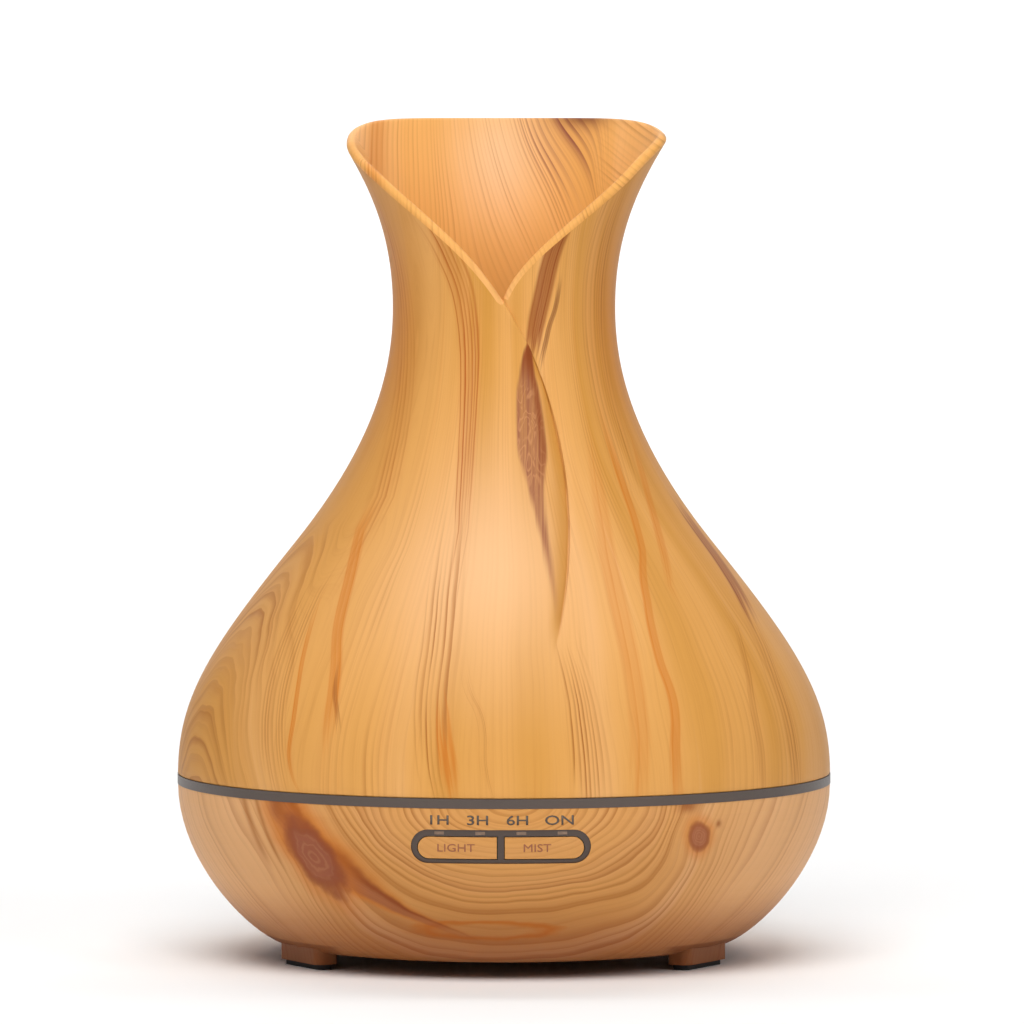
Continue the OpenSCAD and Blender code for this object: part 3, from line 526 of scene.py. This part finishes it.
def moulded(name, colour, rough, mottle=0.06, coat=0.0, grit=0.0):
    """Moulded plastic or rubber: a little uneven in tone and sheen, with an optional fine grit."""
    w = Surface(name)
    cloud = noise(w.x / 24, w.y / 24, w.z / 24, detail=3)
    fine = noise(w.x / 0.7, w.y / 0.7, w.z / 0.7, detail=2)
    shade = tuple(c * (1 - 2 * mottle) for c in colour)
    w.colour(paint(colour, shade, step(cloud, -0.6, 0.6)))
    w.set(roughness=step(fine, -1, 1, rough * 0.88, min(1, rough * 1.12)), coat_weight=coat)
    return w.bump(fine, 0.01 + grit).material


def metal(name, colour, rough):
    """Plated or rolled metal with faint straight scuffs."""
    w = Surface(name)
    scuff = noise(w.x / 0.6, w.y / 9, w.z / 9, detail=3)
    w.colour(paint(colour, tuple(c * 0.82 for c in colour), step(scuff, -0.4, 0.7)))
    w.set(metallic=1.0, roughness=step(scuff, -1, 1, rough * 0.8, rough * 1.25))
    return w.bump(scuff, 0.006).material


def board(name, mask, copper):
    """A printed circuit board: traces show through the solder mask."""
    w = Surface(name)
    lane = noise(w.x / 5, w.y / 5, w.z / 5, detail=1)
    trace = step(size_of(calc("FRACT", lane * 5) - 0.5), 0.30, 0.36)
    w.colour(paint(mask, copper, trace * 0.5))
    w.set(roughness=0.35, coat_weight=0.3)
    return w.bump(trace, 0.02).material


def glowing_lens(name, colour):
    """Clear-tinted plastic of the light pipes and LEDs, unlit."""
    w = Surface(name)
    cloud = noise(w.x / 1.2, w.y / 1.2, w.z / 1.2, detail=2)
    w.colour(paint(colour, tuple(min(1, c * 1.25) for c in colour), step(cloud, -0.5, 0.5)))
    w.set(roughness=step(cloud, -1, 1, 0.16, 0.26), coat_weight=0.4)
    return w.material


# ---------------------------------------------------------------- outlines, as in the CAD


def bezier(points, t):
    p = np.array(points, float)
    t = np.asarray(t, float)[:, None]
    u = 1 - t
    return u**3 * p[0] + 3 * u * u * t * p[1] + 3 * u * t * t * p[2] + t**3 * p[3]


cover_low, cover_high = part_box("vase_cover")
BODY_R = cover_high.x / MM
COVER_Z = cover_low.z / MM
TOP_Z = cover_high.z / MM
WALL = 2.6
NECK_R = 28.6
NECK_Z = 167.3
RIM_R = 45.4
SHOULDER = np.array([BODY_R - 30.2, 106.7])
SHOULDER_RUN = np.array([21.5, -26.8])


def cover_outline():
    """The vase cover's outer skin as dense [radius, height] points, from the foot to the rim."""
    t = np.linspace(0, 1, 160)
    belly = bezier([[BODY_R, COVER_Z], [BODY_R, COVER_Z + 19.7], SHOULDER + SHOULDER_RUN, SHOULDER], t)
    waist = bezier([SHOULDER, SHOULDER - SHOULDER_RUN, [NECK_R, NECK_Z - 14.8], [NECK_R, NECK_Z]], t)
    flare = bezier(
        [[NECK_R, NECK_Z], [NECK_R, NECK_Z + 24], [RIM_R - 6.8, TOP_Z - 11.6], [RIM_R, TOP_Z]], t)
    return np.vstack([belly, waist[1:], flare[1:]])


OUTLINE = cover_outline()
SLOPE = np.gradient(OUTLINE[:, 0], OUTLINE[:, 1])


def skin_r(z):
    return np.interp(z, OUTLINE[:, 1], OUTLINE[:, 0])


def skin_normal(angle, z):
    """Outward unit normals of the plain skin; angle in degrees from the front."""
    slope = np.interp(z, OUTLINE[:, 1], SLOPE)
    a = np.radians(angle)
    n = np.stack([np.sin(a), -np.cos(a), -slope], axis=-1)
    return n / np.linalg.norm(n, axis=-1, keepdims=True)


def on_skin(angle, z):
    a = np.radians(angle)
    r = skin_r(z)
    return np.stack([r * np.sin(a), -r * np.cos(a), z], axis=-1)


# ---------------------------------------------------------------- vase cover

CROSSING_Z = 158.0  # where the two petals' edges cross
NOTCH_Z = 169.2  # the bottom of the V
FOLD_END_Z = 80.0
FOLD_DEPTH = 1.5
LAP_DEPTH = 1.0
SHARP_ANGLE = 38  # degrees; edges sharper than this stay crisp


def cubic_at(z, points):
    """x on a curve whose points have falling, evenly spaced heights, read at the heights z."""
    t = np.clip((points[0][1] - z) / (points[0][1] - points[3][1]), 0, 1)
    return bezier(points, np.ravel(t))[:, 0].reshape(np.shape(z))


def seam_x(z):
    """Where the seam runs: down from the V's bottom, then along the fold's sharp crease."""
    crease = cubic_at(z, [[6.6, 158], [18.9, 132], [19.7, 106], [12.7, 80]])
    lap = np.interp(z, [CROSSING_Z, 164, NOTCH_Z], [6.6, 3.3, 0.35])
    return np.where(z > CROSSING_Z, lap, crease)


def fold_left_x(z):
    return cubic_at(z, [[6.6, 158], [-3.4, 132], [17.4, 106], [12.7, 80]])


def seam_angle(z):
    return np.degrees(np.arcsin(np.clip(seam_x(z) / skin_r(z), -1, 1)))


def smooth(a, low, high):
    t = np.clip((a - low) / (high - low), 0, 1)
    return t * t * (3 - 2 * t)


def relief(side, angle, z):
    """Height of the skin over the plain vase, in millimetres, on one side (-1 or 1) of the seam."""
    out = skin_r(z) * np.radians(angle - seam_angle(z)) * side  # distance from the seam, never negative
    out = np.maximum(out, 0)
    t = np.clip((CROSSING_Z - z) / (CROSSING_Z - FOLD_END_Z), 0, 1)
    fold = FOLD_DEPTH * np.sin(np.pi * t**0.62)
    lap = LAP_DEPTH * smooth(z, CROSSING_Z - 1, 165) * smooth(z, 198, 172)
    if side < 0:
        width = np.maximum(seam_x(z) - fold_left_x(z), 0.5)
        u = np.clip(out / width, 0, 1)
        valley = -fold * (1 - u) ** 1.6 * (1 + 1.6 * u)
        edge = np.clip(1 - out / 1.0, 0, 1)
        return valley + lap * (0.2 * np.exp(-((out / 6) ** 2)) - 0.6 * (1 - np.sqrt(1 - edge**2 + 1e-9)))
    shoulder = np.clip(1 - out / 2.4, 0, 1)
    return -0.5 * fold * shoulder**2.2 - lap * np.exp(-((out / 7.5) ** 2))


def lip_height(side, angle):
    """The crest of the mouth's lip: its height at each angle, degrees from the front."""
    notch_points = {
        -1: [[0.0, NOTCH_Z], [11.0, 186.5], [26.5, 194.0], [42.0, 209.5]],
        1: [[0.0, NOTCH_Z], [4.5, 183.5], [29.5, 195.0], [41.5, 211.5]],
    }[side]
    t = np.linspace(0, 1, 400)
    notch = bezier(notch_points, t)
    brow = bezier([[0, notch_points[3][1]], [12, 211.9], [21, TOP_Z], [38, TOP_Z]], t)
    a = np.radians(np.abs(angle))
    low, high = np.full(a.shape, NOTCH_Z), np.full(a.shape, TOP_Z)
    for _ in range(40):
        z = (low + high) / 2
        r = skin_r(z)
        front = np.interp(r * np.sin(a), notch[:, 0], notch[:, 1], right=notch[-1, 1])
        back = np.interp(-r * np.cos(a), brow[:, 0], brow[:, 1], left=brow[0, 1])
        goal = np.where(a < np.pi / 2, front, back)
        high, low = np.where(goal < z, z, high), np.where(goal < z, low, z)
    soft = np.convolve(np.pad(z, 6, mode="edge"), np.ones(13) / 13, mode="valid")
    keep = smooth(np.abs(angle), 60, 75)
    return z * (1 - keep) + soft * keep


def columns():
    """Angles away from the seam, in degrees, close together near it."""
    near = [0.12, 0.45, 0.9, 1.4, 2.0, 2.8, 3.8, 5.0, 6.5, 8.2, 10, 12, 14.2, 16.6, 19.2]
    return np.array(near + list(np.arange(22, 178, 2.4)) + [180.0])


class Grid:
    """Rows of points that become a mesh. A sheet's faces join neighbouring rows and columns."""

    def __init__(self):
        self.points, self.faces, self.marks = [], [], []

    def add(self, row):
        start = len(self.points)
        self.points += [tuple(p) for p in row]
        return list(range(start, start + len(row)))

    def sheet(self, rows, mark=0, flip=False):
        for a, b in zip(rows, rows[1:]):
            for i in range(len(a) - 1):
                quad = (a[i], a[i + 1], b[i + 1], b[i])
                self.faces.append(tuple(reversed(quad)) if flip else quad)
                self.marks.append(mark)

    def build(self, name, materials, weld=1e-6):
        mesh = bpy.data.meshes.new(name)
        mesh.from_pydata([tuple(c * MM for c in p) for p in self.points], [], self.faces)
        for m in materials:
            mesh.materials.append(m)
        mesh.polygons.foreach_set("material_index", self.marks)
        bm = bmesh.new()
        bm.from_mesh(mesh)
        bmesh.ops.remove_doubles(bm, verts=bm.verts, dist=weld)
        bmesh.ops.recalc_face_normals(bm, faces=bm.faces)
        bm.to_mesh(mesh)
        bm.free()
        piece = bpy.data.objects.new(name, mesh)
        bpy.context.scene.collection.objects.link(piece)
        return piece


def mouth_edge(side, angle_at, turn):
    """Where one side's skin ends at the mouth, the lip's direction there and how far it stands out."""
    crest = np.full(turn.shape, 200.0)
    for _ in range(6):
        crest = lip_height(side, angle_at(np.minimum(crest, TOP_Z)))
    a = angle_at(crest)
    line = on_skin(a, crest)
    from_notch = np.concatenate([[0], np.cumsum(np.linalg.norm(np.diff(line, axis=0), axis=1))])
    along = np.gradient(line, axis=0)
    along[-1] = [-side, 0, 0]
    away = np.cross(along, skin_normal(a, crest))
    away /= np.linalg.norm(away, axis=1, keepdims=True)
    away *= np.sign(away[:, 2])[:, None]
    reach = np.minimum(WALL / 2, 0.12 + 0.5 * from_notch)
    inner_rise = WALL / 2 * np.maximum(-skin_normal(a, crest)[:, 2], 0)
    return crest - reach / np.clip(away[:, 2], 0.45, 1) - inner_rise, away, reach[:, None]


def cover_side(grid, side):
    """One half of the vase cover, from the seam round to the back, for side -1 or 1."""
    turn = columns()
    level_z = 152.0
    rows_low, rows_high, lip_steps, foot = 56, 34, 8, 0.5
    share = np.cos(np.radians(np.clip(turn, 0, 100)) * 0.9) ** 2  # how far a column follows the seam
    share = np.where(turn >= 100, 0, share)

    def angle_at(z):
        return side * turn + seam_angle(z) * share

    edge_z, away, reach = mouth_edge(side, angle_at, turn)
    heights = [np.full(turn.shape, z) for z in np.linspace(COVER_Z + foot, level_z, rows_low)]
    heights += [level_z + (edge_z - level_z) * v for v in np.linspace(0, 1, rows_high)[1:]]
    outer, inner = [], []
    for z in heights:
        a = angle_at(z)
        n = skin_normal(a, z)
        skin = on_skin(a, z)
        outer.append(skin + n * relief(side, a, z)[:, None])
        inner.append(skin - n * WALL)
    # lip: half round the wall's thickness, square to the mouth's edge
    n = skin_normal(angle_at(edge_z), edge_z)
    middle = (outer[-1] + inner[-1]) / 2
    half = np.linalg.norm(outer[-1] - inner[-1], axis=1) / 2
    lip = [
        middle + n * (half * math.cos(t))[:, None] + away * reach * math.sin(t)
        for t in np.linspace(0, math.pi, lip_steps + 1)[1:-1]
    ]
    # foot: a small round under the outer skin
    base_a = np.radians(angle_at(np.full(turn.shape, COVER_Z + foot)))

    def ring(r, z):
        return np.stack([r * np.sin(base_a), -r * np.cos(base_a), np.full(turn.shape, z)], axis=-1)

    under = ring(BODY_R - WALL, COVER_Z)
    ground_rows = [ring(BODY_R - foot * (1 - math.sin(t)), COVER_Z + foot * (1 - math.cos(t)))
                   for t in np.linspace(0, math.pi / 2, 4)[:-1]]
    loop = [under] + ground_rows + outer + lip + inner[::-1] + [under]
    # the outer print reaches up to the lip (material 0 on the left, 1 on the right), the mouth's is 2
    wrapped = len(ground_rows) + len(outer)
    marks = [0 if side < 0 else 1] * wrapped + [2] * (len(loop) - wrapped)
    rows = [grid.add(row) for row in loop]
    for mark, p, q in zip(marks, rows, rows[1:]):
        grid.sheet([p, q], mark, flip=side > 0)
    return rows


def vase_cover():
    """The lift-off cover: lapped petals, the fold, a half-round lip and a thick wall."""
    grid = Grid()
    left, right = cover_side(grid, -1), cover_side(grid, 1)
    for k in range(len(left) - 1):
        grid.faces.append((left[k][0], left[k + 1][0], right[k + 1][0], right[k][0]))
        grid.marks.append(0)
    piece = grid.build("vase_cover_skin", [wood_of_cover(-1), wood_of_cover(1), wood_of_mouth()])
    for p in piece.data.polygons:
        p.use_smooth = True
    piece.data.set_sharp_from_angle(angle=math.radians(SHARP_ANGLE))
    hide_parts("vase_cover")
    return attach(piece, "vase_cover")


# ---------------------------------------------------------------- legends on the panel


def bowl_outline():
    t = np.linspace(0, 1, 200)
    return bezier([[BODY_R, 45.0], [BODY_R, 23.2], [63.0, 4.0], [56.4, 4.0]], t)


BOWL = bowl_outline()


def bowl_y(x, z):
    """The bowl's front face at x and z, all in millimetres."""
    r = np.interp(z, BOWL[::-1, 1], BOWL[::-1, 0])
    return -math.sqrt(max(r * r - x * x, 0))


def face_rank(face, count):
    """A number that puts a mesh's faces in the same order on every run; count is its vertices."""
    rank = 0
    for i in sorted(v.index for v in face.verts):
        rank = rank * count + i
    return rank


def legend(name, text, x, z, height, stretch, material, body, sink=0.0, bold=0.0):
    """Flat lettering laid on the bowl's curve, in Blender's built-in face."""
    curve = bpy.data.curves.new(name, "FONT")
    curve.body = text
    curve.align_x, curve.align_y = "CENTER", "CENTER"
    curve.size = height * 1.42
    curve.offset = bold
    curve.resolution_u = 3
    maker = bpy.data.objects.new(name, curve)
    bpy.context.scene.collection.objects.link(maker)
    bpy.context.view_layer.update()
    mesh = bpy.data.meshes.new_from_object(maker.evaluated_get(bpy.context.evaluated_depsgraph_get()))
    bpy.data.objects.remove(maker)
    bm = bmesh.new()
    bm.from_mesh(mesh)
    bmesh.ops.triangulate(bm, faces=bm.faces)
    film = 0.04  # the ink's thickness in front of the skin
    front = [(v.co.x * stretch + x, v.co.y + z) for v in bm.verts]
    for v, (px, pz) in zip(bm.verts, front):
        v.co = Vector((px, bowl_y(px, pz) - film + sink, pz)) * MM
    lower = bmesh.ops.extrude_face_region(bm, geom=bm.faces[:])
    for v in (g for g in lower["geom"] if isinstance(g, bmesh.types.BMVert)):
        v.co.y += 2 * film * MM
    bm.verts.index_update()
    bm.faces.sort(key=lambda f: face_rank(f, len(bm.verts)))
    bmesh.ops.recalc_face_normals(bm, faces=bm.faces)
    bm.to_mesh(mesh)
    bm.free()
    mesh.materials.clear()
    mesh.materials.append(material)
    piece = bpy.data.objects.new(name, mesh)
    bpy.context.scene.collection.objects.link(piece)
    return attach(piece, body)


def legends():
    ink = moulded("legend_ink", srgb(92, 78, 66), 0.5)
    faint = moulded("button_ink", srgb(158, 92, 62), 0.5)
    for name, text, x in (("legend_1h", "1H", -15.5), ("legend_3h", "3H", -5.7),
                          ("legend_6h", "6H", 4.2), ("legend_on", "ON", 14.6)):
        legend(name, text, x, 42.0, 2.35, 1.42, ink, "base", bold=0.03)
    for name, text, x, body in (("legend_light", "LIGHT", -11.2, "light_button"),
                                ("legend_mist", "MIST", 9.0, "mist_button")):
        legend(name, text, x, 35.0, 2.0, 1.2, faint, body, sink=0.2)


# ---------------------------------------------------------------- materials on the CAD nodes

WHITE = (0.80, 0.79, 0.75)


def dress():
    """Every CAD node that stays in view gets its own procedural finish."""
    base_wood = wood_of_base()
    button_wood = wood_of_base("wood_buttons", 1.0)
    white = moulded("shell_white", WHITE, 0.36, 0.03)
    rubber = moulded("foot_rubber", (0.022, 0.021, 0.021), 0.72, 0.1, grit=0.02)
    seal = moulded("seal_rubber", (0.50, 0.50, 0.47), 0.6)
    steel = metal("steel", (0.62, 0.62, 0.63), 0.3)
    black = moulded("fan_black", (0.022, 0.022, 0.026), 0.45)
    chip = moulded("chip_black", (0.02, 0.02, 0.022), 0.55)
    green = board("board_green", (0.02, 0.16, 0.06), (0.10, 0.28, 0.12))
    pale = board("board_white", (0.78, 0.77, 0.72), (0.62, 0.61, 0.55))
    lens = glowing_lens("lens", srgb(126, 100, 80))
    led = glowing_lens("led_lens", (0.88, 0.83, 0.60))
    copper = metal("copper_coil", (0.62, 0.28, 0.12), 0.35)
    can = moulded("capacitor_can", (0.05, 0.07, 0.14), 0.3, coat=0.3)
    fins = metal("heat_sink", (0.70, 0.71, 0.72), 0.4)
    socket = moulded("connector_white", (0.78, 0.77, 0.72), 0.45)
    looks = {
        "base_shell": base_wood, "light_button": button_wood, "mist_button": button_wood,
        "light_ring": moulded("ring_grey", srgb(86, 74, 67), 0.42, 0.05),
        "button_bezel": moulded("bezel_brown", srgb(72, 56, 46), 0.34, 0.06, coat=0.2),
        "light_pipes": lens, "foot_pads": rubber,
        "water_tank": white, "air_tower": white, "duct_hood": white,
        "inner_cover": white, "mist_chimney": white,
        "transducer_disc": metal("ceramic_disc", (0.72, 0.62, 0.42), 0.3),
        "transducer_seal": seal, "cover_seal": seal,
        "fan_frame": black, "fan_rotor": black, "dc_jack": chip, "controller_chips": chip,
        "power_transistor": chip, "switch_bodies": chip,
        "light_switch_plunger": chip, "mist_switch_plunger": chip,
        "main_board": green, "button_board": green, "led_board": pale,
        "inductor_coil": copper, "capacitors": can, "heat_sink": fins, "board_connectors": socket,
        "mood_leds": led, "indicator_leds": led,
        "jack_lead": moulded("wire_red", (0.48, 0.03, 0.02), 0.4),
        "fan_lead": moulded("wire_black", (0.02, 0.02, 0.02), 0.4),
        "transducer_lead": moulded("wire_grey", (0.55, 0.55, 0.55), 0.4),
        "led_lead": moulded("wire_blue", (0.04, 0.10, 0.34), 0.4),
        "button_lead": moulded("wire_yellow", (0.52, 0.40, 0.06), 0.4),
    }
    for name, node in nodes.items():
        material = looks.get(name, steel)
        node.data.materials.clear()
        node.data.materials.append(material)


# ---------------------------------------------------------------- floor, light, camera


def floor():
    """A pale sweep: flat under the object, curving up far behind it."""
    grid = Grid()
    half, bend, round_r, rise = 5000.0, 3600.0, 900.0, 2600.0
    profile = [(-half, 0.0), (bend, 0.0)]
    profile += [(bend + round_r * math.sin(t), round_r * (1 - math.cos(t)))
                for t in np.linspace(0.1, math.pi / 2, 16)]
    profile += [(bend + round_r, rise)]
    rows = [grid.add([(x, y, z) for x in np.linspace(-half, half, 9)]) for y, z in profile]
    grid.sheet(rows)
    sweep = grid.build("floor_sweep", [floor_material()])
    for p in sweep.data.polygons:
        p.use_smooth = True


def floor_material():
    w = Surface("floor_paper")
    cloud = noise(w.x / 300, w.y / 300, w.z / 300, detail=2)
    w.colour(paint((0.92, 0.92, 0.92), (0.90, 0.90, 0.90), step(cloud, -0.5, 0.5)))
    w.set(roughness=0.9)
    return w.material


def softbox(name, place, aim, size, power):
    lamp = bpy.data.lights.new(name, "AREA")
    lamp.shape = "RECTANGLE"
    lamp.size, lamp.size_y = size
    lamp.energy = power
    box = bpy.data.objects.new(name, lamp)
    bpy.context.scene.collection.objects.link(box)
    box.location = place
    box.rotation_euler = (Vector(aim) - Vector(place)).to_track_quat("-Z", "Y").to_euler()


def studio():
    softbox("key", (-0.12, -1.35, 1.75), (0, 0, 0.11), (1.5, 1.1), 36)
    softbox("left", (-1.5, -1.5, 1.4), (0, 0, 0.12), (0.7, 1.2), 4)
    softbox("right", (1.5, -1.5, 1.4), (0, 0, 0.12), (0.7, 1.2), 10)
    softbox("sweep_light", (0, 0.9, 2.3), (0, 2.2, 0.2), (3.0, 0.8), 34)
    softbox("far_light", (0, 3.0, 2.8), (0, 4.2, 0.2), (5.0, 1.2), 80)
    world = bpy.data.worlds.new("studio")
    bpy.context.scene.world = world
    world.use_nodes = True
    world.node_tree.nodes["Background"].inputs["Color"].default_value = (1, 1, 1, 1)
    world.node_tree.nodes["Background"].inputs["Strength"].default_value = 0.13


def camera():
    """Level with the rim and about two metres off, as the photograph was taken."""
    data = bpy.data.cameras.new("camera")
    data.lens = 284.3
    data.sensor_width = 36
    data.clip_end = 20
    shot = bpy.data.objects.new("camera", data)
    bpy.context.scene.collection.objects.link(shot)
    swing = Matrix.Rotation(math.radians(0.5), 3, "Z")
    shot.location = swing @ Vector((2.06, -2079, 215.8)) * MM
    shot.rotation_euler = (math.radians(90 - 2.79), 0, math.radians(0.5))
    bpy.context.scene.camera = shot


dress()
vase_cover()
legends()
floor()
studio()
camera()
bpy.context.scene.view_settings.view_transform = "Standard"
